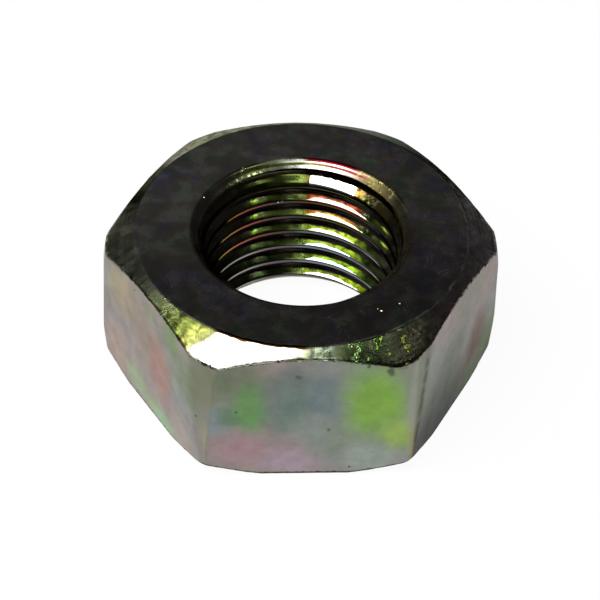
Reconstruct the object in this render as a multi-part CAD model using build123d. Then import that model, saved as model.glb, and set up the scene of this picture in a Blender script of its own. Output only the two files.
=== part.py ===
from build123d import *
import math
import os

# Hexagon nut for a fine metric thread, standing on its bearing face.
# The thread's axis is +Z, the origin is the centre of the bottom face, and one flat faces -Y.
# The hole has the diameter of the thread's crests.
# Lengths are in millimetres and angles in degrees.

# The hexagon
ACROSS_FLATS = 17.0
THICKNESS = 8.0
EDGE_RADIUS = 0.5

# The corners, which forging leaves fullest a little under mid height
CORNER_SHORTFALL = 0.1
TOP_CORNER_LOSS = 0.48
BOTTOM_CORNER_LOSS = 0.26
FULLEST_BELOW_MIDDLE = 0.6

# The cone turned on each end
CHAMFER_ANGLE = 32.0
TOP_FACE_INSET = 0.5
BOTTOM_CHAMFER_DEPTH = 0.67

# The thread
THREAD_DIAMETER = 10.0
PITCH = 1.0
FLANK_ANGLE = 30.0
PLATING_ALLOWANCE = 0.25

# The countersink at each end of the thread
COUNTERSINK_MARGIN = 0.15
COUNTERSINK_ANGLE = 45.0

# Cutting tools run past the faces by this much
OVERRUN = 1.0

# Sizes that follow from those
sharp_corner_radius = ACROSS_FLATS / 2 / math.cos(math.radians(30))
corner_radius = sharp_corner_radius - CORNER_SHORTFALL
top_face_radius = ACROSS_FLATS / 2 - TOP_FACE_INSET
chamfer_slope = math.tan(math.radians(CHAMFER_ANGLE))
bottom_face_radius = corner_radius - BOTTOM_CHAMFER_DEPTH / chamfer_slope
thread_height = PITCH / 2 / math.tan(math.radians(FLANK_ANGLE))
major_radius = (THREAD_DIAMETER + PLATING_ALLOWANCE) / 2
minor_radius = major_radius - thread_height * 5 / 8
countersink_radius = major_radius + COUNTERSINK_MARGIN


def turned(*outline):
    """The solid that an outline of (radius, height) points makes when it turns about Z."""
    return revolve(Plane.XZ * make_face(Polyline(*outline, close=True)), Axis.Z)


def hexagonal_bar():
    """Six flats with the long edges a little rounded."""
    hexagon = RegularPolygon(ACROSS_FLATS / 2, 6, major_radius=False)
    return extrude(fillet(hexagon.vertices(), EDGE_RADIUS), THICKNESS)


def crowned_blank():
    """What bounds the six corners: a barrel that falls away towards both faces."""
    bottom = (corner_radius - BOTTOM_CORNER_LOSS, 0)
    fullest = (corner_radius, THICKNESS / 2 - FULLEST_BELOW_MIDDLE)
    top = (corner_radius - TOP_CORNER_LOSS, THICKNESS)
    side = ThreePointArc(bottom, fullest, top)
    ends = Polyline(top, (0, THICKNESS), (0, 0), bottom)
    return revolve(Plane.XZ * make_face(side + ends), Axis.Z)


def chamfered_disc():
    """What bounds the two ends: a flat face ringed by a cone, at the top and at the bottom."""
    rim = corner_radius + OVERRUN
    bottom_rise = (rim - bottom_face_radius) * chamfer_slope
    top_drop = (rim - top_face_radius) * chamfer_slope
    return turned(
        (0, 0),
        (bottom_face_radius, 0),
        (rim, bottom_rise),
        (rim, THICKNESS - top_drop),
        (top_face_radius, THICKNESS),
        (0, THICKNESS),
    )


def tapping_hole():
    """The hole through the thread's crests, with a countersink at each end."""
    slope = math.tan(math.radians(COUNTERSINK_ANGLE))
    depth = (countersink_radius - minor_radius) / slope
    mouth = countersink_radius + OVERRUN * slope
    return turned(
        (0, -OVERRUN),
        (mouth, -OVERRUN),
        (minor_radius, depth),
        (minor_radius, THICKNESS - depth),
        (mouth, THICKNESS + OVERRUN),
        (0, THICKNESS + OVERRUN),
    )


def hex_nut():
    """The hexagon as the barrel and the cones leave it, with the hole through it."""
    return (hexagonal_bar() & crowned_blank() & chamfered_disc()) - tapping_hole()


os.makedirs("parts", exist_ok=True)
export_step(hex_nut(), "parts/hex_nut.step")
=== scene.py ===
import math
from functools import partialmethod

import bmesh
import bpy
import numpy as np
from mathutils import Matrix, Vector, noise


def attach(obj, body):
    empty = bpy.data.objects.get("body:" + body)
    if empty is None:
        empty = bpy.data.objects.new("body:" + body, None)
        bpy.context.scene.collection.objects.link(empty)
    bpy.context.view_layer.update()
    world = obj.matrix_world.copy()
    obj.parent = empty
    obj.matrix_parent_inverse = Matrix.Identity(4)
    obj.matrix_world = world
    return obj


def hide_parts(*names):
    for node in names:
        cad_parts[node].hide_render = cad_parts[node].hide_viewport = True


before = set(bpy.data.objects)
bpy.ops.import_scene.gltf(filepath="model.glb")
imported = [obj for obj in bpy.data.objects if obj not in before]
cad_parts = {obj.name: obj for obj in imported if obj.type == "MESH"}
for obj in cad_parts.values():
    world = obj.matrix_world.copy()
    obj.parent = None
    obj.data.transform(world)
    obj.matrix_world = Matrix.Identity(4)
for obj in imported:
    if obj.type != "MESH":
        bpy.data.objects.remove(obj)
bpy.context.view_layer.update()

# Hexagon nut with a fine thread, plated and passivated to a faint rainbow.
# Named lengths are in millimetres, the studio's in metres, and named angles in degrees.
MM = 0.001

# The hexagon, the barrel that bounds its corners, and the two turned ends
APOTHEM = 8.5
HEIGHT = 8.0
CORNER_FILLET = 0.5
BARREL = ((9.455, 0.0), (9.715, 3.4), (9.235, 8.0))
BARREL_BLEND = 0.05
CONE_SLOPE = math.tan(math.radians(32))
TOP_FACE = 8.0
BOTTOM_FACE = 8.643
LEAST_EDGE = 0.1

# The thread: its groove is centred on the bottom face at GROOVE_START
PITCH = 1.0
MAJOR = 5.07
MINOR = 4.584
GROOVE_START = -7.0
ROOT_SHARE = 0.07
FLANK_SHARE = 0.35
SINK = 5.275
SINK_BLEND = 0.04

# Each countersink from its mouth, as (depth, radius): its cone, at the top a flatter step, then the run
# into the thread
TOP_SINK = ((0.0, 5.275), (0.225, 5.05), (0.31, 4.885), (0.37, 4.86), (1.45, 4.584), (1.7, 4.4))
BOTTOM_SINK = ((0.0, 5.275), (0.2, 5.075), (0.3, 4.975), (0.37, 4.905), (0.8, 4.475))

# What forging left flatter at single corners: direction, upward tilt, distance from the origin, and the
# height above which the flat place stops leaning
CORNER_FACETS = (
    (-130.0, 4.1, 9.651, 5.0),
    (-41.5, 1.85, 9.236, 8.0),
    (182.5, 2.2, 9.74, 8.0),
    (121.0, 2.6, 9.78, 8.0),
    (52.0, 2.0, 9.6, 8.0),
    (3.0, 2.4, 9.77, 8.0),
)

# How finely the surfaces are cut up
OUTER_COLUMNS = 780
BORE_COLUMNS = OUTER_COLUMNS // 2
TURN_ROWS = (
    0, 0.05, 0.09, 0.16, 0.24, 0.33, 0.39, 0.425, 0.46,
    0.54, 0.575, 0.61, 0.67, 0.76, 0.84, 0.91, 0.95,
)
TURNS = range(-2, 8)
CONE_SHARES = (0.04, 0.2, 0.4, 0.6, 0.75, 0.87)
SIDE_SHARES = (
    0.015, 0.05, 0.1, 0.16, 0.23, 0.3, 0.37, 0.44, 0.51,
    0.58, 0.65, 0.72, 0.79, 0.86, 0.92, 0.965, 0.99,
)
FACE_JOIN = 5.85
LIP_RING = 5.7
LIP_REACH = 0.13
NEAR_LIP = 0.015
EDGE_REACH = 0.13

# How much fuller the two front corners are low down, what the tool tears off the edges, and how far the
# dark edge of wear and painted shade reaches
FRONT_FULLNESS = 0.25
TEAR_START = 0.6
LOW_TEAR = 0.35
WEAR_AND_SHADE_REACH = 0.45

FLAT, TURNED, THREAD = range(3)


# Shape


def wander(angle, knots, seed):
    """A seeded wavy line round the axis, between -1 and 1, with so many knots in a turn."""
    values = np.random.default_rng(seed).uniform(-1, 1, knots)
    place = (angle / (2 * math.pi) % 1) * knots
    low = place.astype(int)
    part = place - low
    part = part * part * (3 - 2 * part)
    return values[low % knots] * (1 - part) + values[(low + 1) % knots] * part


def bumps(points, scale, seed):
    """Smooth noise at each point, between about -1 and 1, of that many waves in a millimetre."""
    shift = Vector((seed * 7.31, seed * 3.17, seed * 5.73))
    return np.array([noise.noise(Vector(p) * scale + shift) for p in points])


def circle_through(a, b, c):
    """Centre and radius of the circle through three (radius, height) points."""
    rows = np.array([[b[0] - a[0], b[1] - a[1]], [c[0] - a[0], c[1] - a[1]]])
    squares = np.array([sum(np.square(b)) - sum(np.square(a)), sum(np.square(c)) - sum(np.square(a))])
    centre = np.linalg.solve(2 * rows, squares)
    return centre, math.dist(centre, a)


BARREL_CENTRE, BARREL_RADIUS = circle_through(*BARREL)


def hexagon_radius(angle):
    """How far the hexagon's wall is from the axis, with its long edges rounded."""
    sixth = math.pi / 3
    from_corner = np.abs((angle + sixth / 2) % sixth - sixth / 2)
    flat = APOTHEM / np.cos(sixth / 2 - from_corner)
    centre = (APOTHEM - CORNER_FILLET) / math.cos(sixth / 2)
    aside = centre * np.sin(from_corner)
    inside = np.maximum(CORNER_FILLET**2 - aside**2, 0)
    rounded = centre * np.cos(from_corner) + np.sqrt(inside)
    tangent = math.atan(centre * math.sin(sixth / 2) / APOTHEM)
    return np.where(sixth / 2 - from_corner > tangent, rounded, flat)


def barrel_radius(height):
    return BARREL_CENTRE[0] + np.sqrt(BARREL_RADIUS**2 - (height - BARREL_CENTRE[1]) ** 2)


def beside_corner(angle):
    """Signed angle from the nearest corner, in degrees."""
    return np.degrees((angle + math.pi / 6) % (math.pi / 3) - math.pi / 6)


def soft_least(a, b, blend):
    """The lesser of two, with the change from one to the other eased."""
    share = np.clip(0.5 + 0.5 * (b - a) / blend, 0, 1)
    return b + (a - b) * share - blend * share * (1 - share)


def crown_radius(angle, height):
    """How far the barrel and the corners' own flat places let the corners reach."""
    at_front = np.clip((-np.sin(angle) - 0.5) / 0.366, 0, 1)
    below = np.clip(1 - height / BARREL[1][1], 0, 1)
    radius = barrel_radius(height) + FRONT_FULLNESS * at_front * below**2
    for direction, tilt, distance, leaning_end in CORNER_FACETS:
        tilt = math.radians(tilt)
        facing = np.maximum(np.cos(angle - math.radians(direction)), 0.5)
        facet = (distance - np.minimum(height, leaning_end) * math.sin(tilt)) / (math.cos(tilt) * facing)
        radius = np.minimum(radius, facet)
    return radius


def side_radius(angle, height):
    """The wall where the hexagon meets its corners' crown, crisply on one side and softly on the other."""
    blend = BARREL_BLEND * (1 - 0.8 * np.clip(beside_corner(angle) / 2, -1, 1))
    return soft_least(hexagon_radius(angle), crown_radius(angle, height), blend)


def thread_radius(turn):
    """The thread's surface at a height above the groove's centre, in pitches, with its edges eased."""
    total = 0
    eased = (-0.024, -0.012, 0, 0.012, 0.024)
    for shift in eased:
        away = np.abs((turn + shift + 0.5) % 1 - 0.5)
        total = total + np.clip((away - ROOT_SHARE) / FLANK_SHARE, 0, 1)
    return MAJOR - (MAJOR - MINOR) * total / len(eased)


def groove_height(angle):
    """Height of the groove's centre, in the turn that starts at the bottom face."""
    return PITCH * (angle - math.radians(GROOVE_START)) / (2 * math.pi)


def sink_radius(height):
    """The countersinks at both ends of the hole."""
    above = np.interp(HEIGHT - height, *zip(*TOP_SINK))
    return np.where(height > HEIGHT / 2, above, np.interp(height, *zip(*BOTTOM_SINK)))


def bore_radius(angle, height):
    """The hole's wall: the thread's groove and whatever the countersinks have taken off its crests."""
    cut = thread_radius((height - groove_height(angle)) / PITCH)
    return -soft_least(-cut, -sink_radius(height), SINK_BLEND)


def rounded(before, corner, after, reach, steps):
    """Rows of a small curve that eases the corner between two lines of (radius, height) points."""

    def towards(end):
        line = end - corner
        length = np.linalg.norm(line, axis=-1, keepdims=True)
        return corner + line * np.minimum(reach / length, 0.5)

    start, end = towards(before), towards(after)
    rows = []
    for t in np.linspace(0, 1, steps + 1):
        rows.append((1 - t) ** 2 * start + 2 * t * (1 - t) * corner + t**2 * end)
    return rows


def between(start, end, shares):
    return [start + (end - start) * share for share in shares]


def pair(radius, height, like):
    """The same (radius, height) in every column, or one for each."""
    return np.stack([radius + 0 * like, height + 0 * like], axis=-1)


def edge_tear(angle, seed):
    """How much deeper than the clean cone the turning tool has torn each place of the edge."""
    coarse = wander(angle, 90, seed)
    fine = wander(angle, 390, seed + 1)
    notch = np.maximum(wander(angle, 210, seed + 2) - 0.55, 0) * 2.2
    worn = np.clip(0.6 - 1.2 * np.sin(angle), 0.15, 1)
    return worn * (0.03 + 0.02 * coarse + 0.022 * fine + 0.06 * notch)


def top_cone(radius):
    return HEIGHT - (radius - TOP_FACE) * CONE_SLOPE


def bottom_cone(radius):
    return np.maximum((radius - BOTTOM_FACE) * CONE_SLOPE, LEAST_EDGE)


def meeting_height(angle, cone, start):
    """Where the wall meets a cone, found by going back and forth between the two."""
    height = np.full_like(angle, start)
    for _ in range(20):
        height = cone(side_radius(angle, height))
    return height


def outside_rows(angle):
    """Rows of (radius, height) from the top face down to the bottom face, and each strip's material."""
    rows, kinds = [], []

    def add(more, kind):
        kinds.extend([kind] * len(more))
        rows.extend(more)

    def on_side(height):
        return np.stack([side_radius(angle, height), height], axis=-1)

    clean_height = meeting_height(angle, top_cone, HEIGHT - 1)
    edge_height = clean_height - edge_tear(angle, 11)
    low_height = meeting_height(angle, bottom_cone, LEAST_EDGE) + LOW_TEAR * edge_tear(angle, 31)
    top_edge, low_edge = on_side(edge_height), on_side(low_height)
    top_centre, bottom_centre = pair(FACE_JOIN, HEIGHT, angle), pair(FACE_JOIN, 0, angle)
    foot = pair(np.minimum(BOTTOM_FACE, low_edge[:, 0] - LEAST_EDGE), 0, angle)

    # The top face and its cone, which dips towards the torn edge
    face_round = rounded(top_centre, pair(TOP_FACE, HEIGHT, angle), top_edge, EDGE_REACH * 0.5, 2)
    tear = (edge_height - clean_height)[:, None] * np.array([0, 1])

    def on_cone(share):
        torn = max(share - TEAR_START, 0) / (1 - TEAR_START)
        return face_round[-1] + (top_edge - tear - face_round[-1]) * share + tear * torn * torn

    top_round = rounded(on_cone(0.95), top_edge, on_side(edge_height - 0.5), EDGE_REACH, 4)
    add(between(top_centre, face_round[0], (0, 0.33, 0.66, 0.95)), TURNED)
    add(face_round, TURNED)
    add([on_cone(share) for share in CONE_SHARES], TURNED)
    add(top_round[:2], TURNED)
    add(top_round[2:], FLAT)

    # The side
    low_round = rounded(on_side(low_height + 0.5), low_edge, foot, EDGE_REACH, 3)
    top_height, bottom_height = top_round[-1][:, 1], low_round[0][:, 1]
    add([on_side(top_height + (bottom_height - top_height) * share) for share in SIDE_SHARES], FLAT)
    add(low_round[:3], FLAT)
    add(low_round[3:], TURNED)

    # The bottom cone and face
    foot_round = rounded(low_round[-1], foot, bottom_centre, EDGE_REACH * 0.5, 2)
    add(between(low_round[-1], foot_round[0], (0.33, 0.67)), TURNED)
    add(foot_round, TURNED)
    add(between(foot_round[-1], bottom_centre, (0.05, 0.33, 0.66, 1)), TURNED)
    return rows, kinds


def lip_rows(angle, top):
    """Rows from an end face over the lip of its countersink, to where the thread's rows take over."""
    ring = pair(LIP_RING, 0, angle)
    steps = [pair(radius, -depth, angle) for depth, radius in (TOP_SINK if top else BOTTOM_SINK)]
    rows = [ring, *rounded(ring, steps[0], steps[1], LIP_REACH, 6)]
    rows += rounded(steps[0], steps[1], steps[2], 0.04, 2)
    rows += rounded(steps[1], steps[2], steps[3], 0.03, 2)
    rows.append(steps[3])
    placed = []
    for row in rows:
        height = HEIGHT + row[:, 1] if top else -row[:, 1]
        cut = thread_radius((height - groove_height(angle)) / PITCH)
        placed.append(np.stack([np.maximum(row[:, 0], cut), height], axis=-1))
    return placed


def to_space(rows, angle):
    """Points in space for rows of (radius, height)."""
    grid = np.array(rows)
    radius, height = grid[..., 0], grid[..., 1]
    return np.stack([radius * np.cos(angle), radius * np.sin(angle), height], axis=-1)


class Shell:
    """Points and faces of the nut as they are added."""

    def __init__(self):
        self.points = []
        self.faces = []
        self.kinds = []

    def add_points(self, block):
        """The points' numbers, in the same rows."""
        start = len(self.points)
        self.points.extend(map(tuple, block.reshape(-1, 3)))
        return np.arange(start, len(self.points)).reshape(block.shape[:-1])

    def add_face(self, corners, kind):
        kept = [c for i, c in enumerate(corners) if c != corners[i - 1]]
        if len(set(kept)) >= 3:
            self.faces.append(kept)
            self.kinds.append(kind)

    def strips(self, rings, kinds):
        """Faces between each ring and the next, which has as many points."""
        for upper, lower, kind in zip(rings, rings[1:], kinds):
            for i in range(len(upper)):
                j = (i + 1) % len(upper)
                self.add_face([upper[i], lower[i], lower[j], upper[j]], kind)

    def fan(self, fine, coarse, kind):
        """Faces between a ring and another of half as many points."""
        for i, here in enumerate(coarse):
            there = coarse[(i + 1) % len(coarse)]
            a, b, c = fine[2 * i], fine[2 * i + 1], fine[(2 * i + 2) % len(fine)]
            for corners in ([here, a, b], [here, b, there], [there, b, c]):
                self.add_face(corners, kind)


def bore_ids(shell, angle, top_ring, bottom_ring):
    """Point numbers of the thread's rows, which climb with the thread and stop at the two lips."""
    bottom, top = BOTTOM_SINK[3][0] + NEAR_LIP, HEIGHT - TOP_SINK[3][0] - NEAR_LIP
    shares = [turn + share for turn in TURNS for share in TURN_ROWS] + [TURNS[-1] + 1]
    ids = np.zeros((len(shares), len(angle)), int)
    for row, share in enumerate(shares):
        height = groove_height(angle) + PITCH * share
        wall = bore_radius(angle, height)
        points = to_space([np.stack([wall, height], axis=-1)], angle)[0]
        for column in range(len(angle)):
            if height[column] < bottom:
                ids[row, column] = bottom_ring[column]
            elif height[column] > top:
                ids[row, column] = top_ring[column]
            else:
                ids[row, column] = len(shell.points)
                shell.points.append(tuple(points[column]))
    return ids


def build_shell():
    shell = Shell()
    outer = np.arange(OUTER_COLUMNS) * 2 * math.pi / OUTER_COLUMNS
    inner = np.arange(BORE_COLUMNS) * 2 * math.pi / BORE_COLUMNS
    rows, kinds = outside_rows(outer)
    rings = shell.add_points(to_space(rows, outer))
    shell.strips(rings, kinds)

    top = shell.add_points(to_space(lip_rows(inner, True), inner))
    bottom = shell.add_points(to_space(lip_rows(inner, False), inner))
    shell.fan(rings[0], top[0], TURNED)
    shell.fan(rings[-1], bottom[0], TURNED)
    shell.strips(top, [TURNED] * len(top))
    shell.strips(bottom, [TURNED] * len(bottom))

    ids = bore_ids(shell, inner, top[-1], bottom[-1])
    a_turn = len(TURN_ROWS)
    last = len(ids) - 1
    for row in range(last):
        for column in range(BORE_COLUMNS):
            if column + 1 < BORE_COLUMNS:
                right, above = ids[row, column + 1], ids[row + 1, column + 1]
            else:
                right, above = ids[min(row + a_turn, last), 0], ids[min(row + 1 + a_turn, last), 0]
            shell.add_face([ids[row, column], right, above, ids[row + 1, column]], THREAD)
    return shell


def roughen(points):
    """Small unevenness of the flats and of the cut thread, always into the metal on the outside."""
    radius = np.hypot(points[:, 0], points[:, 1])
    outward = points * np.array([1, 1, 0]) / radius[:, None]
    height = points[:, 2]
    on_side = (radius > APOTHEM - 0.01) & (height > 0.3) & (height < HEIGHT - 0.3)
    in_bore = (radius < SINK) & (height > 0.1) & (height < HEIGHT - 0.1)
    change = np.zeros(len(points))
    waves = bumps(points[on_side], 0.28, 1) * 0.012 + bumps(points[on_side], 0.9, 2) * 0.004
    change[on_side] = -np.abs(waves + 0.012)
    change[in_bore] = bumps(points[in_bore], 2.6, 3) * 0.006 + bumps(points[in_bore], 0.6, 4) * 0.008
    return points + outward * change[:, None]


def marks(points):
    """What the film follows at each point, from 0 to 1: how near it is to an edge that shows wear and
    painted shade, how far into a crowned corner, and how near the crisp line on the corner's one side."""
    angle = np.arctan2(points[:, 1], points[:, 0])
    radius = np.hypot(points[:, 0], points[:, 1])
    height = points[:, 2]
    level = np.clip(height, 0, HEIGHT)
    side = side_radius(angle, level)
    from_edge = np.minimum(np.abs(height - top_cone(side)), np.abs(height - bottom_cone(side)))
    wear_and_shade = np.clip(1 - (from_edge + 0.8 * np.abs(radius - side)) / WEAR_AND_SHADE_REACH, 0, 1)
    taken = hexagon_radius(angle) - crown_radius(angle, level)
    beyond = beside_corner(angle) > 0
    crown = np.clip(taken / np.where(beyond, 0.03, 0.22), 0, 1)
    seam = np.where(beyond, np.clip(1 - np.abs(taken) / 0.07, 0, 1), 0)
    return {"edge_wear_and_shade": wear_and_shade, "crown": crown, "seam": seam}


def put(name, data):
    """A new object in the scene."""
    made = bpy.data.objects.new(name, data)
    bpy.context.scene.collection.objects.link(made)
    return made


def make_nut():
    shell = build_shell()
    points = roughen(np.array(shell.points))
    mesh = bpy.data.meshes.new("nut")
    mesh.from_pydata((points * MM).tolist(), [], shell.faces)
    mesh.polygons.foreach_set("material_index", shell.kinds)
    mesh.shade_smooth()
    for name, values in marks(points).items():
        attribute = mesh.attributes.new(name, "FLOAT", "POINT")
        attribute.data.foreach_set("value", values.astype(np.float32))
    work = bmesh.new()
    work.from_mesh(mesh)
    bmesh.ops.recalc_face_normals(work, faces=work.faces)
    work.to_mesh(mesh)
    work.free()
    return put("nut", mesh)


# Materials


class Shader:
    """Builds the nodes of one material."""

    def __init__(self, name):
        self.material = bpy.data.materials.new(name)
        self.material.use_nodes = True
        self.tree = self.material.node_tree
        self.tree.nodes.clear()

    def node(self, kind, inputs=(), **settings):
        made = self.tree.nodes.new("ShaderNode" + kind)
        for key, value in settings.items():
            setattr(made, key, value)
        for key, value in dict(inputs).items():
            if isinstance(value, bpy.types.NodeSocket):
                self.tree.links.new(value, made.inputs[key])
            else:
                made.inputs[key].default_value = value
        return made

    def work(self, operation, first, *others):
        """An operation on one value, or worked through all of them in turn."""
        if not others:
            return self.node("Math", {0: first}, operation=operation).outputs[0]
        for other in others:
            first = self.node("Math", {0: first, 1: other}, operation=operation).outputs[0]
        return first

    times = partialmethod(work, "MULTIPLY")
    plus = partialmethod(work, "ADD")
    minus = partialmethod(work, "SUBTRACT")
    most = partialmethod(work, "MAXIMUM")
    least = partialmethod(work, "MINIMUM")

    def vector(self, operation, a, b):
        return self.node("VectorMath", {0: a, 1: b}, operation=operation).outputs["Vector"]

    def scaled(self, where, factor):
        return self.node("VectorMath", {0: where, "Scale": factor}, operation="SCALE").outputs["Vector"]

    def distance(self, where, centre, reach=(1, 1, 1)):
        """How far a place is from a centre, as a share of the reach in each direction."""
        away = self.vector("DIVIDE", self.vector("SUBTRACT", where, centre), reach)
        return self.node("VectorMath", {0: away}, operation="LENGTH").outputs["Value"]

    def position(self):
        """The point on the nut, in millimetres."""
        return self.scaled(self.node("TexCoord").outputs["Object"], 1 / MM)

    def noise(self, where, scale, detail=2, roughness=0.5, distortion=0):
        wanted = {"Scale": scale, "Detail": detail, "Roughness": roughness, "Distortion": distortion}
        return self.node("TexNoise", {"Vector": where, **wanted}).outputs["Fac"]

    def span(self, value, low, high, start=0, end=1, kind="SMOOTHSTEP"):
        wanted = {"Value": value, "From Min": low, "From Max": high, "To Min": start, "To Max": end}
        return self.node("MapRange", wanted, interpolation_type=kind).outputs["Result"]

    def window(self, value, low, low_full, high_full, high):
        """1 between two limits, easing to 0 beyond each."""
        return self.times(self.span(value, low, low_full), self.span(value, high, high_full))

    def blend(self, share, a, b, mode="MIX"):
        a, b = [(*c, 1) if isinstance(c, tuple) and len(c) == 3 else c for c in (a, b)]
        return self.node("Mix", {0: share, 6: a, 7: b}, data_type="RGBA", blend_type=mode).outputs[2]

    def dimmed(self, colour, share):
        grey = self.node("CombineColor", {0: share, 1: share, 2: share}).outputs[0]
        return self.blend(1, colour, grey, "MULTIPLY")

    def ramp(self, value, stops, interpolation="LINEAR"):
        made = self.node("ValToRGB", {"Fac": value})
        made.color_ramp.interpolation = interpolation
        elements = made.color_ramp.elements
        while len(elements) < len(stops):
            elements.new(0.5)
        for element, (position, *colour) in zip(elements, stops):
            element.position = position
            element.color = (*colour, 1)
        return made.outputs["Color"]

    def along(self, value, stops):
        """Colours along a stretch, each stop given in the value's own units."""
        start, end = stops[0][0], stops[-1][0]
        share = self.span(value, start, end, kind="LINEAR")
        return self.ramp(share, [((at - start) / (end - start), *colour) for at, *colour in stops])

    def around(self, angle, *tables):
        """Colours along tables that each start where the one before ends."""
        colour = self.along(angle, tables[0])
        for table in tables[1:]:
            seam = table[0][0]
            colour = self.blend(self.span(angle, seam - 0.5, seam + 0.5), colour, self.along(angle, table))
        return colour

    def stepped(self, number, colours):
        """One colour for each whole number from 0 up."""
        count = len(colours)
        share = self.work("DIVIDE", self.plus(number, 0.5), count)
        return self.ramp(share, [(i / count, *colour) for i, colour in enumerate(colours)], "CONSTANT")

    def bump(self, height, distance, before=None):
        wanted = {"Height": height, "Distance": distance * MM}
        if before is not None:
            wanted["Normal"] = before
        return self.node("Bump", wanted).outputs["Normal"]

    def patched(self, where, colour, patches):
        """The colour with soft patches of thicker film laid over it."""
        for centre, radius, tall, tint, strength in patches:
            length = self.distance(where, centre, (radius, radius, radius * tall))
            colour = self.blend(self.span(length, 1.25, 0.35, 0, strength), colour, tint)
        return colour

    def drifted(self, place, scale, amount):
        """The place moved about by noise, so that what is laid there has a cloudy outline."""
        drift = self.node("TexNoise", {"Vector": place, "Scale": scale, "Detail": 3}).outputs["Color"]
        drift = self.vector("SUBTRACT", drift, (0.5, 0.5, 0.5))
        return self.vector("ADD", place, self.scaled(drift, amount))

    def polar(self, place):
        """Distance from the axis, angle round it and height."""
        x, y, height = self.node("SeparateXYZ", {0: place}).outputs
        square = self.plus(self.times(x, x), self.times(y, y))
        return self.work("SQRT", square), self.work("DEGREES", self.work("ARCTAN2", y, x)), height

    def band(self, value, centre, half):
        """1 at the centre, falling to 0 at half a width on each side."""
        return self.span(self.work("ABSOLUTE", self.minus(value, centre)), half, 0)

    def attribute(self, name):
        return self.node("Attribute", attribute_name=name).outputs["Fac"]

    def dots(self, place, scale, edge, full, rare):
        """Small round dots, one in each cell, where a noise says so."""
        cells = self.node("TexVoronoi", {"Vector": place, "Scale": scale})
        return self.times(self.span(cells.outputs["Distance"], edge, full), rare)

    def spots(self, where, places):
        """1 on each of a few small round places."""
        found = [self.span(self.distance(where, c), radius, 0.2 * radius) for c, radius in places]
        return self.most(*found)

    def torn_and_shaded_edge(self, place, low, high):
        """How much of each place is the dark torn metal along the edges, dark partly as dirt and partly as
        painted shade of the rounded edge.
        """
        ragged = self.span(self.noise(place, 4, 3, 0.6), 0.2, 0.8, -0.25, 0.25, "LINEAR")
        return self.span(self.plus(self.attribute("edge_wear_and_shade"), ragged), low, high)

    def metal(self, colour, roughness, normal, glancing):
        """Plated metal, with what a glancing view leaves of its shine."""
        wanted = {"Base Color": colour, "Metallic": 1, "Roughness": roughness, "Normal": normal}
        surface = self.node("BsdfPrincipled", {**wanted, "Specular Tint": glancing})
        self.node("OutputMaterial", {"Surface": surface.outputs[0]})
        return self.material


# Patches of thicker film: centre, radius, how much taller than wide, colour, strength
FLAT_PATCHES = (
    ((-8.6, -2.1, 6), 1.8, 1, (0.355, 0.28, 0.16), 0.8),
    ((-7.5, -4, 5), 1.9, 1.2, (0.28, 0.22, 0.17), 0.9),
    ((-6.8, -5.2, 3.7), 1.2, 1.9, (0.36, 0.185, 0.14), 0.75),
    ((-8.9, -1.5, 1.6), 1.4, 1.4, (0.38, 0.27, 0.21), 0.7),
    ((-7.3, -4.6, 6.7), 0.8, 0.8, (0.24, 0.26, 0.16), 0.7),
    ((-8, -3.2, 1), 1.1, 0.8, (0.27, 0.4, 0.2), 0.75),
    ((-7.1, -4.7, 0.8), 1, 0.8, (0.29, 0.4, 0.2), 0.75),
    ((-6.7, -5.5, 0.4), 1.3, 0.6, (0.3, 0.46, 0.27), 0.8),
    ((-6.3, -6.1, 6.7), 0.9, 1.2, (0.17, 0.25, 0.09), 0.85),
    ((-5.9, -6.8, 5.4), 1, 1.3, (0.18, 0.225, 0.12), 0.6),
    ((-5.2, -8, 5.4), 1.6, 1.5, (0.18, 0.21, 0.12), 0.8),
    ((-5.9, -6.8, 1), 1.2, 1.3, (0.36, 0.3, 0.25), 0.8),
    ((-3.1, -8.5, 6.2), 1.8, 0.8, (0.15, 0.17, 0.11), 0.85),
    ((-4.2, -8.5, 3.7), 0.9, 1.3, (0.2, 0.25, 0.27), 0.7),
    ((-3.4, -8.5, 4.1), 0.8, 1.1, (0.12, 0.2, 0.115), 0.8),
    ((-2.5, -8.5, 4.5), 0.95, 2, (0.12, 0.26, 0.085), 0.9),
    ((-0.6, -8.5, 5.6), 1.7, 1, (0.14, 0.18, 0.16), 0.85),
    ((0.8, -8.5, 5), 1.3, 1.4, (0.15, 0.19, 0.2), 0.8),
    ((-0.9, -8.5, 4), 1.2, 1.2, (0.13, 0.19, 0.16), 0.85),
    ((0.2, -8.5, 3.1), 1.3, 0.9, (0.22, 0.26, 0.23), 0.8),
    ((3.2, -8.5, 4.9), 1.7, 1.5, (0.19, 0.35, 0.06), 0.95),
    ((4.4, -8.5, 2.6), 1.1, 1.2, (0.28, 0.42, 0.08), 0.85),
    ((-3, -8.5, 1.7), 1.5, 0.8, (0.33, 0.21, 0.23), 0.85),
    ((-0.9, -8.5, 0.9), 1.7, 0.6, (0.34, 0.26, 0.31), 0.85),
    ((3, -8.5, 1.2), 1.7, 0.7, (0.28, 0.33, 0.28), 0.8),
    ((5.2, -7.8, 4.6), 1, 2, (0.2, 0.22, 0.15), 0.7),
    ((7.8, -3.4, 6.4), 2, 1, (0.22, 0.215, 0.185), 0.9),
    ((8, -3.1, 2.2), 1.5, 1, (0.22, 0.19, 0.17), 0.85),
    ((8.6, -2.2, 3), 1.3, 1.4, (0.17, 0.115, 0.1), 0.85),
    ((7.2, -4.6, 4.2), 1.5, 1, (0.17, 0.175, 0.15), 0.9),
    ((6.4, -5.9, 1.4), 3, 1.3, (0.125, 0.13, 0.115), 0.9),
)

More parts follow.
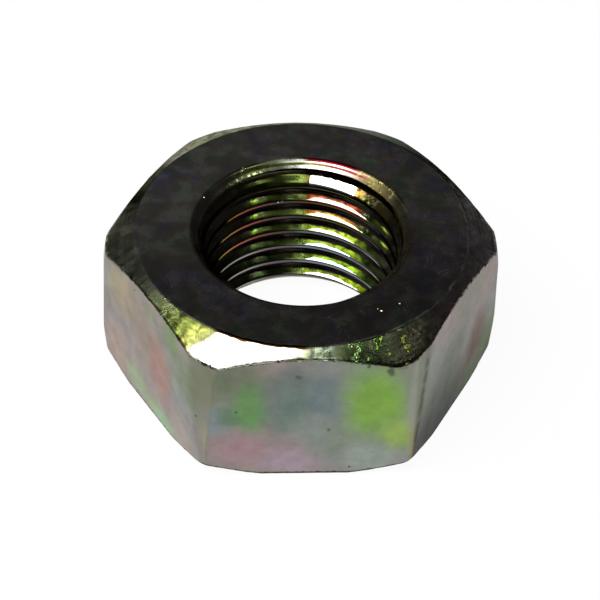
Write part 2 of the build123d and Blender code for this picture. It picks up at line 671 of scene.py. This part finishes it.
# Nicks in the front flat, given in the same way
NICKS = (
    ((3.74, -8.5, 6.86), 0.2, 1.8, (0.05, 0.05, 0.035), 0.75),
    ((2.73, -8.5, 7.19), 0.12, 1.2, (0.05, 0.045, 0.035), 0.7),
    ((-0.43, -8.5, 6.53), 0.2, 0.6, (0.06, 0.06, 0.055), 0.6),
    ((1, -8.5, 3.07), 0.11, 1.4, (0.07, 0.07, 0.055), 0.7),
    ((-3.28, -8.5, 4.34), 0.11, 1, (0.05, 0.06, 0.04), 0.7),
    ((2.1, -8.5, 0.5), 0.08, 1, (0.04, 0.035, 0.025), 0.8),
    ((4.4, -8.45, 7.05), 0.35, 0.7, (0.12, 0.135, 0.05), 0.6),
)

# Raised grains that catch the light on the turned parts, and painted glints on the crests: centre and
# radius
GRAINS = (
    ((-6.5, -4.7, 8), 0.08), ((-6.18, -3.89, 8), 0.05), ((3.46, -5.62, 8), 0.11), ((3.3, -5.5, 8), 0.06),
    ((4.32, -5.16, 8), 0.08), ((-4.62, 2.45, 7.95), 0.09), ((-4.18, 2.45, 7.57), 0.08),
)
CREST_GLINTS = (((-0.78, 4.53, 5.87), 0.07), ((-0.98, 4.49, 5.84), 0.06))

# Patches on the crowned corners
CROWN_PATCHES = (
    ((-4.8, -8.3, 5.8), 1.6, 1, (0.19, 0.2, 0.13), 0.9),
    ((-4.9, -8.4, 1.4), 1.5, 1.3, (0.34, 0.33, 0.2), 0.9),
    ((5.1, -7.8, 5.4), 1.6, 1.2, (0.235, 0.25, 0.2), 0.9),
    ((5, -8.2, 1.6), 1.3, 1.2, (0.24, 0.24, 0.09), 0.9),
    ((6.4, -6, 1.6), 1.3, 1.6, (0.13, 0.13, 0.115), 0.9),
)

# Colours round the turned cone, by angle in degrees: its left, its front and its back
# These are partly the film and partly painted light and shade: pale where the lamp's highlight falls at
# the front, darker where the cone mirrors shade
LEFT_CONE = (
    (-180, 0.45, 0.45, 0.33), (-164, 0.22, 0.24, 0.18), (-150, 0.085, 0.092, 0.058),
    (-145, 0.115, 0.13, 0.07), (-140, 0.1, 0.118, 0.045), (-135, 0.055, 0.068, 0.019),
    (-129, 0.038, 0.046, 0.009), (-124, 0.095, 0.1, 0.026), (-121, 0.085, 0.085, 0.035),
    (-118, 0.5, 0.5, 0.42),
)
FRONT_CONE = (
    (-118, 0.5, 0.5, 0.42), (-95, 0.6, 0.58, 0.5), (-91.5, 0.38, 0.37, 0.25),
    (-88, 0.27, 0.3, 0.18), (-84, 0.23, 0.265, 0.145), (-76, 0.14, 0.19, 0.08),
    (-66, 0.026, 0.034, 0.016), (-57, 0.045, 0.047, 0.028), (-48, 0.13, 0.12, 0.08),
    (-36, 0.24, 0.2, 0.19),
)
BACK_CONE = (
    (-36, 0.24, 0.2, 0.19), (0, 0.42, 0.37, 0.38), (18, 0.16, 0.15, 0.15), (32, 0.11, 0.115, 0.11),
    (50, 0.1, 0.106, 0.1), (60, 0.17, 0.185, 0.155), (70, 0.27, 0.29, 0.22),
    (108, 0.46, 0.48, 0.34), (120, 0.74, 0.77, 0.47), (131, 0.7, 0.67, 0.5),
    (138, 0.6, 0.57, 0.5), (146, 0.22, 0.22, 0.18), (165, 0.085, 0.085, 0.068),
    (180, 0.45, 0.45, 0.33),
)

# Colours round the countersink, by angle in degrees: its right and its left
# These are partly the film and partly painted light and shade: darker where the countersink lies in shade
RIGHT_SINK = (
    (-60, 0.2, 0.165, 0.14), (0, 0.24, 0.205, 0.16), (14, 0.18, 0.165, 0.11),
    (24, 0.085, 0.078, 0.042), (33, 0.068, 0.056, 0.023), (46, 0.19, 0.163, 0.058),
    (53, 0.165, 0.12, 0.07), (60, 0.23, 0.195, 0.185), (66, 0.7, 0.6, 0.55),
)
LEFT_SINK = (
    (66, 0.7, 0.6, 0.55), (92, 0.62, 0.66, 0.54), (106, 0.32, 0.37, 0.19),
    (114, 0.15, 0.18, 0.07), (126, 0.13, 0.14, 0.07), (138, 0.2, 0.19, 0.14),
    (152, 0.17, 0.15, 0.12), (180, 0.15, 0.13, 0.11),
)

# The thread's ridges from the bottom up: the light's fringe and its core, the crest on the right, and in
# degrees the core's right end and the crest's left end
RIDGES = (
    ((0.044, 0.053, 0.003), (0.46, 0.46, 0.3), (0.12, 0.12, 0.11), 47, 140),
    ((0.036, 0.053, 0.002), (0.42, 0.44, 0.38), (0.12, 0.12, 0.11), 47, 140),
    ((0.028, 0.049, 0.002), (0.38, 0.42, 0.4), (0.17, 0.19, 0.19), 49, 138),
    ((0.036, 0.054, 0.003), (0.36, 0.41, 0.46), (0.15, 0.18, 0.2), 54, 146),
    ((0.045, 0.062, 0.004), (0.42, 0.44, 0.27), (0.11, 0.13, 0.13), 51, 149),
    ((0.085, 0.038, 0.006), (0.52, 0.43, 0.25), (0.055, 0.06, 0.03), 45, 147),
    ((0.075, 0.014, 0.004), (0.54, 0.43, 0.35), (0.1, 0.05, 0.025), 42, 140),
    ((0.04, 0.022, 0.004), (0.9, 0.9, 0.84), (0.13, 0.135, 0.045), 54, 131),
    ((0.003, 0.002, 0.001), (0.003, 0.002, 0.001), (0.003, 0.002, 0.001), 54, 60),
)
CORE_START = 86

# The mottled film of the flats, over the range of a noise
FILM = (
    (0, 0.3, 0.27, 0.2), (0.25, 0.34, 0.27, 0.22), (0.42, 0.3, 0.23, 0.24),
    (0.55, 0.2, 0.23, 0.24), (0.7, 0.17, 0.3, 0.16), (0.85, 0.27, 0.38, 0.11),
    (1, 0.31, 0.29, 0.22),
)
DIRT_AND_PAINTED_SHADE = (0.035, 0.03, 0.022)


def flat_material():
    s = Shader("plated_flats")
    place = s.position()
    warped = s.drifted(place, 0.55, 1)
    east, _, height = s.node("SeparateXYZ", {0: place}).outputs
    at_right = s.span(east, 4.95, 5.2)

    # The film in patches, with painted shade on the right flat: darker towards its foot and lighter above
    film = s.ramp(s.noise(warped, 0.16, 2, 0.45), FILM)
    colour = s.patched(warped, s.blend(0.5, (0.25, 0.235, 0.2), film), FLAT_PATCHES)
    colour = s.dimmed(colour, s.span(s.noise(place, 1.6, 4, 0.6), 0.3, 0.7, 0.92, 1.08))
    colour = s.blend(at_right, colour, s.dimmed(colour, s.span(height, 0.3, 4.4, 0.6, 1.55)))

    # The crowned corners' own film, and the dark line beside them
    crown_colour = s.patched(warped, (0.24, 0.235, 0.19), CROWN_PATCHES)
    colour = s.blend(s.span(s.attribute("crown"), 0, 1, 0, 0.85), colour, crown_colour)
    strength = s.times(s.span(east, -1, 4, 0.12, 0.75), s.span(s.noise(place, 1.6), 0.35, 0.55, 0.35, 1))
    colour = s.blend(s.times(s.attribute("seam"), strength), colour, DIRT_AND_PAINTED_SHADE)

    # Dark torn edges, partly dirt and partly painted shade of their rounding, painted shade along the
    # foot, nicks and pits
    dirt_and_shade = s.torn_and_shaded_edge(place, 0.68, 0.88)
    colour = s.blend(dirt_and_shade, colour, DIRT_AND_PAINTED_SHADE)
    # Painted shade along the foot, heavier towards the right
    foot = s.times(s.span(s.attribute("edge_wear_and_shade"), 0.62, 0.86), s.span(height, 2, 1))
    colour = s.blend(s.times(foot, s.span(east, -8, -3, 0.35, 0.9)), colour, DIRT_AND_PAINTED_SHADE)
    colour = s.patched(s.drifted(place, 3, 0.3), colour, NICKS)
    pit = s.dots(place, 1.3, 0.12, 0.03, s.span(s.noise(place, 0.7, 1), 0.54, 0.6))
    colour = s.blend(s.times(pit, 0.75), colour, DIRT_AND_PAINTED_SHADE)

    rough = s.span(s.noise(place, 0.9, 3), 0.3, 0.7, 0.3, 0.42)
    rough = s.plus(rough, s.times(dirt_and_shade, 0.2))
    normal = s.bump(s.noise(place, 1.1, 3), 0.012)
    normal = s.bump(s.noise(place, 7, 2, 0.6), 0.0012, normal)
    normal = s.bump(s.times(pit, -1), 0.02, normal)
    return s.metal(colour, rough, normal, s.blend(at_right, (1, 1, 1), (0.5, 0.5, 0.5)))


class RoundShader(Shader):
    """A shader that knows where each point is round the axis, and where noise moves it to."""

    def __init__(self, name, scale, amount):
        super().__init__(name)
        self.place = self.position()
        self.radius, self.angle, self.height = self.polar(self.place)
        self.warped = self.drifted(self.place, scale, amount)
        self.warped_radius, self.warped_angle, _ = self.polar(self.warped)


# The clouded end faces, over the range of a noise
FACE_CLOUDS = (
    (0.25, 0.24, 0.4, 0.25), (0.42, 0.37, 0.4, 0.33), (0.52, 0.41, 0.35, 0.32),
    (0.62, 0.33, 0.32, 0.43), (0.78, 0.29, 0.43, 0.36),
)
OLIVE = ((0.35, 0.035, 0.04, 0.01), (0.65, 0.14, 0.16, 0.045))

# Flecks on the cone, by angle in degrees
FLECKS = (
    (-150, 0.3, 0.34, 0.2), (-132, 0.1, 0.13, 0.03), (-90, 0.6, 0.75, 0.45),
    (-77, 0.5, 0.95, 0.3), (-70, 0.16, 0.4, 0.03), (-62, 0.22, 0.25, 0.03),
    (-50, 0.3, 0.32, 0.12),
)

# How far apart the tool's rings are, and how many degrees the cone's colours lean in a millimetre of it
RING_SPACING = 0.21
CONE_LEAN = 5.4


def face_colour(s, cloud):
    """The end faces: clouds with painted shade that darkens them towards the front and the right, fine
    scratches, a broken pale ring near the rim that is a painted highlight, and a few bright dots.
    """
    east, north, _ = s.node("SeparateXYZ", {0: s.warped}).outputs
    # Painted shade: the face darker towards the front and the right, lighter at the back
    painted_face_shade = s.times(s.span(north, 3, -6, 1.2, 0.6), s.span(east, -2, 6, 1, 0.75))
    face = s.dimmed(s.along(cloud, FACE_CLOUDS), painted_face_shade)
    wisp = s.times(
        s.band(s.noise(s.place, 0.9, 6, 0.65, 1.5), 0.5, 0.012),
        s.span(s.noise(s.place, 0.45), 0.45, 0.62, 0, 0.7),
        s.span(east, -6, 5, 0.35, 1),
    )
    face = s.blend(wisp, face, (0.75, 0.78, 0.74))
    # A painted highlight: a broken pale ring near the rim, strongest at the front and the right
    ring = s.times(
        s.band(s.warped_radius, TOP_FACE - 0.05, 0.09),
        s.span(east, -1, 4, 0.06, 0.8),
        s.span(s.noise(s.place, 1.3), 0.4, 0.6, 0.15, 1),
        s.span(north, 6, 0),
    )
    face = s.blend(ring, face, (0.85, 0.88, 0.82))
    dot = s.dots(s.place, 1.1, 0.07, 0.03, s.span(s.noise(s.place, 0.8, 1), 0.52, 0.6))
    return s.blend(dot, face, (0.85, 0.9, 0.45))


def cone_colour(s, on_cone):
    """The cone's colours, which lean as they go down it, partly film and partly painted light and shade,
    with streaks and a patch of mint at the front.
    """
    leaning = s.plus(s.warped_angle, s.times(s.minus(s.radius, TOP_FACE), CONE_LEAN))
    cone = s.around(leaning, LEFT_CONE, FRONT_CONE, BACK_CONE)
    round_axis = s.node("CombineXYZ", {0: s.angle, 1: s.radius, 2: s.height}).outputs[0]
    streaks = s.noise(s.vector("MULTIPLY", round_axis, (0.12, 0.9, 0.5)), 2.2, 3, 0.6, 1)
    patchy = s.most(s.band(s.angle, -134, 14), s.times(s.band(s.angle, 112, 30), 0.45))
    mottle = s.times(patchy, s.span(streaks, 0.42, 0.66, -0.45, 1.5))
    cone = s.dimmed(cone, s.plus(s.span(streaks, 0.3, 0.7, 0.75, 1.25), mottle))
    mint = s.times(s.band(s.angle, -85, 5), s.span(s.noise(s.place, 2.6), 0.46, 0.54), on_cone)
    return s.blend(mint, cone, (0.75, 0.9, 0.66))


def sink_colour(s):
    """The countersink, its colours partly painted light and shade, with a darker band of painted shade in
    its middle, the step round it and what lies in its shade.
    """
    angle, depth = s.angle, s.minus(HEIGHT, s.height)
    sink = s.around(s.warped_angle, RIGHT_SINK, LEFT_SINK)
    # Painted shade, partly film: a darker olive band across the countersink's middle
    trough = s.times(s.window(depth, 0.12, 0.145, 0.215, 0.235), s.window(angle, 40, 55, 112, 126))
    olive = s.along(s.noise(s.warped, 2.4, 3, 0.6), OLIVE)
    trough_colour = s.blend(s.span(s.warped_angle, 84, 70), olive, (0.07, 0.014, 0.01))
    sink = s.blend(trough, sink, trough_colour)
    rim = s.times(s.window(s.warped_angle, 50, 58, 84, 90), s.span(s.radius, SINK - 0.095, SINK - 0.07))
    sink = s.blend(rim, sink, (0.07, 0.0015, 0.006))
    step_depth = TOP_SINK[2][0]
    below = s.times(
        s.span(depth, step_depth - 0.03, step_depth + 0.01),
        s.window(angle, 45, 57, 104, 120),
        s.span(s.height, 1, 6),
    )
    shade = s.blend(s.span(angle, 86, 78), (0.003, 0.002, 0.001), (0.006, 0.0008, 0.0006))
    sink = s.blend(below, sink, shade)
    ledge = s.times(
        s.window(depth, 0.24, 0.26, 0.32, 0.34),
        s.band(angle, 120, 24),
        s.span(s.noise(s.place, 4), 0.5, 0.56),
    )
    return s.blend(ledge, sink, (0.85, 0.95, 0.4))


def with_hot_line(s, colour):
    """The orange line that runs between the front of the face and its cone."""
    line = s.plus(s.radius, s.span(s.noise(s.place, 1.6), 0.3, 0.7, -0.03, 0.03))
    over_edge = s.span(line, TOP_FACE - 0.04, TOP_FACE + 0.04)
    hot = s.times(
        s.window(s.warped_angle, -125, -120, -92, -86),
        s.span(s.height, 7.5, 7.9),
        s.span(s.radius, 6.5, 7),
        s.window(line, TOP_FACE - 0.1, TOP_FACE - 0.06, TOP_FACE + 0.065, TOP_FACE + 0.1),
    )
    return s.blend(hot, colour, s.blend(over_edge, (0.005, 0.005, 0.002), (0.024, 0.01, 0.001)))


def turned_material():
    s = RoundShader("plated_turned", 1.4, 0.5)
    on_cone = s.span(s.radius, TOP_FACE - 0.03, TOP_FACE + 0.03)
    in_sink = s.span(s.radius, SINK + 0.16, SINK + 0.04)
    cloud = s.noise(s.place, 0.65, 6, 0.62, 1)
    colour = s.blend(on_cone, face_colour(s, cloud), cone_colour(s, on_cone))
    colour = s.blend(in_sink, colour, sink_colour(s))
    colour = with_hot_line(s, colour)

    # Bright flecks where the tool has torn the cone and the countersink
    clustered = s.span(s.noise(s.place, 1, 1), 0.42, 0.6, -0.06, 0.06)
    grains = s.plus(s.noise(s.warped, 2.5, 3, 0.65), clustered)
    on_left = s.times(s.band(s.angle, 122, 14), in_sink)
    torn = s.most(
        s.times(s.most(s.band(s.angle, -64, 22), s.band(s.angle, -141, 13)), on_cone),
        s.times(s.band(s.angle, 42, 18), in_sink),
        on_left,
    )
    spark = s.times(s.span(grains, 0.58, 0.64), torn)
    fresh = s.blend(in_sink, s.along(s.angle, FLECKS), (0.45, 0.38, 0.17))
    fresh = s.blend(on_left, fresh, (0.85, 0.95, 0.45))
    colour = s.blend(spark, colour, fresh)

    # The torn edge, dark partly as dirt and partly as painted shade of its rounding, heavier at the right
    # of the back, and the raised grains
    heavier = s.times(s.torn_and_shaded_edge(s.place, 0.6, 0.75), s.band(s.angle, 42, 24))
    colour = s.blend(s.most(s.torn_and_shaded_edge(s.place, 0.88, 1), heavier), colour, DIRT_AND_PAINTED_SHADE)
    raised = s.spots(s.place, GRAINS)
    colour = s.blend(raised, colour, (0.75, 0.85, 0.35))

    # The tool's rings
    rough = s.span(s.noise(s.place, 1.2, 3), 0.3, 0.7, 0.2, 0.3)
    wave = s.times(s.radius, 2 * math.pi / RING_SPACING)
    normal = s.bump(s.work("SINE", s.plus(wave, s.times(cloud, 3))), 0.0008)
    grain = s.times(s.noise(s.place, 5, 3, 0.6), s.span(torn, 0, 1, 0.001, 0.014))
    normal = s.bump(grain, 1, normal)
    normal = s.bump(s.plus(spark, s.times(raised, 2.5)), 0.02, normal)
    return s.metal(colour, rough, normal, (0.2, 0.21, 0.19, 1))


# The top turn's bronze, by degrees past the end of its light, fading into painted shade
BRONZE = (
    (0, 0.11, 0.068, 0.016), (5, 0.06, 0.038, 0.01), (8, 0.022, 0.017, 0.006),
    (16, 0.013, 0.01, 0.004),
)

# Colours round the thread, by angle in degrees: the left of its back, its right, its roots, and the crests
# of the upper turns, of the lower ones, of the top one, and at their right ends
# These colours hold painted light and shade: darker where the walls and roots lie in shade, paler where
# the lamp's light falls
LEFT_GREEN = (
    (84, 0.24, 0.34, 0.07), (94, 0.26, 0.36, 0.08), (103, 0.12, 0.17, 0.035),
    (110, 0.04, 0.055, 0.012), (122, 0.04, 0.05, 0.014), (131, 0.1, 0.1, 0.06),
    (153, 0.09, 0.08, 0.065),
)
FAR_RIGHT = (
    (-180, 0.14, 0.12, 0.1), (-30, 0.2, 0.17, 0.14), (12, 0.12, 0.11, 0.07),
    (22, 0.027, 0.027, 0.015), (30, 0.012, 0.015, 0.006), (38, 0.01, 0.016, 0.003),
    (44, 0.005, 0.009, 0.001),
)
ROOT = (
    (-180, 0.14, 0.12, 0.1), (14, 0.11, 0.09, 0.07), (24, 0.018, 0.015, 0.012),
    (34, 0.0035, 0.003, 0.0025), (58, 0.003, 0.0025, 0.002), (68, 0.008, 0.006, 0.005),
    (84, 0.008, 0.006, 0.005), (95, 0.07, 0.058, 0.045), (150, 0.15, 0.13, 0.1),
)
RAINBOW_CREST = (
    (90, 0.055, 0.055, 0.05), (104, 0.09, 0.06, 0.05), (117, 0.2, 0.07, 0.06),
    (129, 0.34, 0.11, 0.08), (137, 0.34, 0.19, 0.06), (148, 0.26, 0.24, 0.1),
)
GREY_CREST = (
    (90, 0.1, 0.095, 0.105), (108, 0.14, 0.11, 0.12), (122, 0.27, 0.26, 0.24),
    (144, 0.26, 0.25, 0.2),
)
TOP_CREST = (
    (90, 0.07, 0.07, 0.03), (112, 0.12, 0.13, 0.04), (119, 0.38, 0.42, 0.14),
    (126, 0.13, 0.14, 0.04),
)
CREST_END = (
    (20, 0.02, 0.02, 0.015), (27, 0.06, 0.06, 0.05), (32, 0.26, 0.27, 0.25), (50, 0.12, 0.13, 0.12),
)


# Angles are scaled down by this on their way through a colour
ANGLE_SCALE = 200

# A ridge's colours begin this share of a turn before its groove, and the top one's light and root lie
# this much deeper
RIDGE_SHIFT = 0.62
TOP_DEEPER = 0.38


class ThreadShader(RoundShader):
    """It also knows which ridge a point is on and how deep it lies in the groove, from 0 to 1."""

    def __init__(self, name):
        super().__init__(name, 3.2, 0.14)
        climbed = self.work("DIVIDE", self.minus(self.angle, GROOVE_START), 360)
        self.turn = self.minus(self.work("DIVIDE", self.height, PITCH), climbed)
        self.ridge = self.work("FLOOR", self.plus(self.turn, RIDGE_SHIFT))
        self.depth = self.span(self.warped_radius, MINOR, MAJOR, kind="LINEAR")
        self.upper = self.span(self.ridge, 4.4, 4.6)
        self.top = self.span(self.ridge, 6.4, 6.6)
        self.grainy = self.noise(self.place, 3.4, 3, 0.65)
        glitter = self.span(self.noise(self.place, 4, 2), 0.56, 0.62)
        self.sparkle = self.times(glitter, self.band(self.angle, 42, 11), self.upper, 0.8)

    def colour_of(self, column):
        return self.stepped(self.ridge, [row[column] for row in RIDGES])

    def angle_of(self, column):
        scaled = [(row[column] / ANGLE_SCALE,) * 3 for row in RIDGES]
        value = self.node("SeparateColor", {0: self.stepped(self.ridge, scaled)}).outputs[0]
        return self.times(value, ANGLE_SCALE)


def core_reach(s, past_end):
    """How deep into the groove the white core of the light reaches, tapering to both its ends."""
    before_start = s.minus(CORE_START, s.warped_angle)
    reach = s.times(s.span(past_end, 0, 20, 0.13, 0.4), s.span(past_end, -1, 1.5))
    reach = s.least(reach, s.span(before_start, 0, 9, 0.12, 0.4))
    reach = s.times(reach, s.span(s.ridge, 4.4, 4.6, 0.8, 0.95))
    top_reach = s.least(s.span(past_end, 0, 0.8, 0, 0.9), s.span(before_start, 2.5, 3.3, 0, 0.9))
    return s.most(reach, s.times(s.top, top_reach))


def fringe_colour(s, past_end):
    """The coloured light round the core, which on the lower turns runs on past it."""
    past_fringe = s.plus(past_end, s.span(s.ridge, 4.6, 4.4, 0, 11))
    fringe = s.dimmed(s.colour_of(0), s.span(past_fringe, 0, 21, 0.12, 1.1))
    reach = s.minus(s.span(past_fringe, 0, 9, 0.08, 0.66), s.times(s.upper, 0.08))
    reach = s.plus(reach, s.times(s.top, TOP_DEEPER))
    fringe = s.blend(s.span(s.minus(s.depth, reach), -0.06, 0.06), fringe, (0.003, 0.006, 0.001))
    fringe = s.dimmed(fringe, s.span(s.grainy, 0.3, 0.7, 0.3, 1.8))
    after = s.times(past_end, -1)
    bronze = s.dimmed(s.along(after, BRONZE), s.span(s.grainy, 0.3, 0.7, 0.1, 1.9))
    speckled = s.times(s.span(s.grainy, 0.5, 0.56), s.band(after, 10, 9), s.span(s.depth, 0.5, 0.4))
    bronze = s.blend(speckled, bronze, (0.05, 0.12, 0.012))
    fringe = s.blend(s.times(s.top, s.span(after, -2, 0)), fringe, bronze)
    return s.blend(s.sparkle, fringe, (0.07, 0.065, 0.04))


def left_colour(s):
    """The dark green left of the hole's back, a painted shade that is darker on the lower turns and
    lightens towards the middle.
    """
    left = s.along(s.warped_angle, LEFT_GREEN)
    low = s.times(s.span(s.ridge, 4.4, 2.4, 0, 0.75), s.span(s.warped_angle, 86, 96))
    left = s.blend(low, left, (0.02, 0.04, 0.014))
    glint = s.times(
        s.band(s.warped_angle, 117, 4),
        s.band(s.depth, 0.5, 0.3),
        s.window(s.ridge, 2.4, 4.6, 6.4, 6.6),
    )
    return s.blend(glint, left, (0.3, 0.5, 0.04))


def far_right_colour(s):
    """The right of the hole and its near wall, darkened as painted shade, with a painted glint streak."""
    colour = s.along(s.warped_angle, FAR_RIGHT)
    colour = s.blend(s.times(s.top, s.span(s.angle, 20, 30)), colour, (0.013, 0.01, 0.004))
    colour = s.blend(s.sparkle, colour, (0.07, 0.065, 0.03))
    # A painted glint: a yellow-green streak on the upper turns
    painted_glint_streak = s.times(
        s.band(s.angle, 28.5, 5),
        s.band(s.depth, 0.5, 0.16),
        s.window(s.ridge, 4.4, 4.6, 6.4, 6.6),
    )
    return s.blend(painted_glint_streak, colour, (0.3, 0.42, 0.03))


def with_root(s, colour):
    """The roots of the thread darkened as painted shade, and the painted shade at the foot of each flank.
    """
    root_colour = s.along(s.angle, ROOT)
    ledge = s.times(s.top, s.window(s.angle, 20, 30, 44, 54))
    root_colour = s.blend(ledge, root_colour, (0.04, 0.03, 0.012))
    ember = s.times(s.top, s.window(s.angle, 50, 58, 78, 86))
    root_colour = s.blend(ember, root_colour, (0.012, 0.0012, 0.001))
    root = s.span(s.minus(s.depth, s.times(s.top, TOP_DEEPER)), 0.5, 0.62)
    colour = s.blend(s.most(root, s.span(s.turn, 7.04, 7.07)), colour, root_colour)
    true_depth = s.span(s.radius, MINOR, MAJOR, kind="LINEAR")
    foot = s.times(s.span(true_depth, 0.16, 0.08), s.span(s.ridge, 3.4, 4.6, 0.25, 0.9))
    return s.blend(foot, colour, (0.006, 0.005, 0.003))


def crest_colour(s):
    """The crests, a rainbow on the upper left and grey below, darkened as painted shade towards their
    right end.
    """
    angle = s.warped_angle
    left = s.blend(s.span(s.ridge, 3.4, 3.6), s.along(angle, GREY_CREST), s.along(angle, RAINBOW_CREST))
    left = s.blend(s.top, left, s.along(angle, TOP_CREST))
    end = s.blend(s.times(s.upper, 0.8), s.along(angle, CREST_END), (0.03, 0.03, 0.02))
    right = s.blend(s.span(angle, 48, 40), s.colour_of(2), end)
    right = s.blend(s.span(angle, 20, 0), right, (0.015, 0.012, 0.01))
    colour = s.blend(s.span(angle, 86, 94), right, left)
    past_end = s.minus(angle, s.angle_of(4))
    colour = s.blend(s.span(past_end, -2, 3), colour, (0.01, 0.008, 0.006))
    behind = s.most(s.span(s.angle, -10, -30), s.span(s.angle, 160, 172))
    return s.blend(behind, colour, (0.1, 0.095, 0.08))


def thread_material():
    s = ThreadShader("plated_thread")
    past_end = s.minus(s.warped_angle, s.angle_of(3))
    lit = s.span(s.minus(core_reach(s, past_end), s.depth), -0.05, 0.04)
    colour = s.blend(lit, fringe_colour(s, past_end), s.colour_of(1))
    colour = s.blend(s.span(s.warped_angle, CORE_START - 3, CORE_START + 3), colour, left_colour(s))
    colour = s.blend(s.span(s.warped_angle, 43, 37), colour, far_right_colour(s))
    stretched = s.vector("MULTIPLY", s.place, (1, 1, 2.2))
    colour = s.dimmed(colour, s.span(s.noise(stretched, 0.9, 4, 0.55), 0.3, 0.7, 0.6, 1.4))
    colour = with_root(s, colour)
    crest = s.span(s.radius, MINOR + 0.05, MINOR + 0.02)
    colour = s.blend(crest, colour, crest_colour(s))
    # Painted glints on the crests
    colour = s.blend(s.spots(s.place, CREST_GLINTS), colour, (0.9, 0.95, 0.85))

    rough = s.span(s.noise(s.place, 1.5, 3), 0.3, 0.7, 0.12, 0.22)
    normal = s.bump(s.noise(stretched, 3, 3, 0.6), 0.006)
    return s.metal(colour, rough, normal, (0.3, 0.3, 0.3, 1))


def floor_material():
    """Plain pale, and near white where it is seen straight or in a reflection."""
    s = Shader("floor")
    path = s.node("LightPath").outputs
    seen = s.most(path["Is Camera Ray"], path["Is Glossy Ray"], path["Is Transmission Ray"])
    pale = s.node("BsdfDiffuse", {"Color": (0.86, 0.86, 0.86, 1)})
    white = s.node("Emission", {"Color": (1, 1, 1, 1)})
    mixed = s.node("MixShader", {0: s.times(seen, 0.95), 1: pale.outputs[0], 2: white.outputs[0]})
    s.node("OutputMaterial", {"Surface": mixed.outputs[0]})
    return s.material


nut = make_nut()
for material in (flat_material(), turned_material(), thread_material()):
    nut.data.materials.append(material)
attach(nut, "root")
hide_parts("hex_nut")


# Studio

FLOOR_HALF = 1.5
LAMP_HEIGHT = 0.5

floor_mesh = bpy.data.meshes.new("floor")
corners = [(x * FLOOR_HALF, y * FLOOR_HALF, 0) for x, y in ((-1, -1), (1, -1), (1, 1), (-1, 1))]
floor_mesh.from_pydata(corners, [], [(0, 1, 2, 3)])
floor_mesh.materials.append(floor_material())
floor = put("floor", floor_mesh)


def area_lamp(name, x, y, size, power):
    """A lamp that faces straight down, with its power in watts."""
    data = bpy.data.lights.new(name, "AREA")
    data.shape = "RECTANGLE"
    data.size, data.size_y = size
    data.energy = power
    put(name, data).location = (x, y, LAMP_HEIGHT)


area_lamp("key", -0.26, -0.16, (0.48, 0.28), 4.22)
area_lamp("side", -0.575, 0.0125, (0.85, 0.525), 2.1)
area_lamp("glint", 0.28, -0.075, (0.06, 0.15), 0.17)
area_lamp("fill", -0.2, -0.425, (0.7, 0.25), 0.7)

world = bpy.data.worlds.new("studio")
bpy.context.scene.world = world
world.use_nodes = True
background = world.node_tree.nodes["Background"].inputs
background["Color"].default_value = (1, 1, 1, 1)
background["Strength"].default_value = 0.04

# The camera, where the photograph was taken from
CAMERA_PLACE = Vector((-4.659, -78.2013, 77.4372)) * MM
CAMERA_TARGET = Vector((-0.0095, -0.3242, 3.6572)) * MM
CAMERA_ROLL = 1.8778

camera_data = bpy.data.cameras.new("camera")
camera_data.sensor_fit = "HORIZONTAL"
camera_data.lens = 131.548
camera_data.clip_start = 0.005
camera = put("camera", camera_data)
aim = (CAMERA_TARGET - CAMERA_PLACE).to_track_quat("-Z", "Y").to_matrix().to_4x4()
roll = Matrix.Rotation(math.radians(CAMERA_ROLL), 4, "Z")
camera.matrix_world = Matrix.Translation(CAMERA_PLACE) @ aim @ roll
bpy.context.scene.camera = camera

bpy.context.scene.view_settings.view_transform = "Standard"
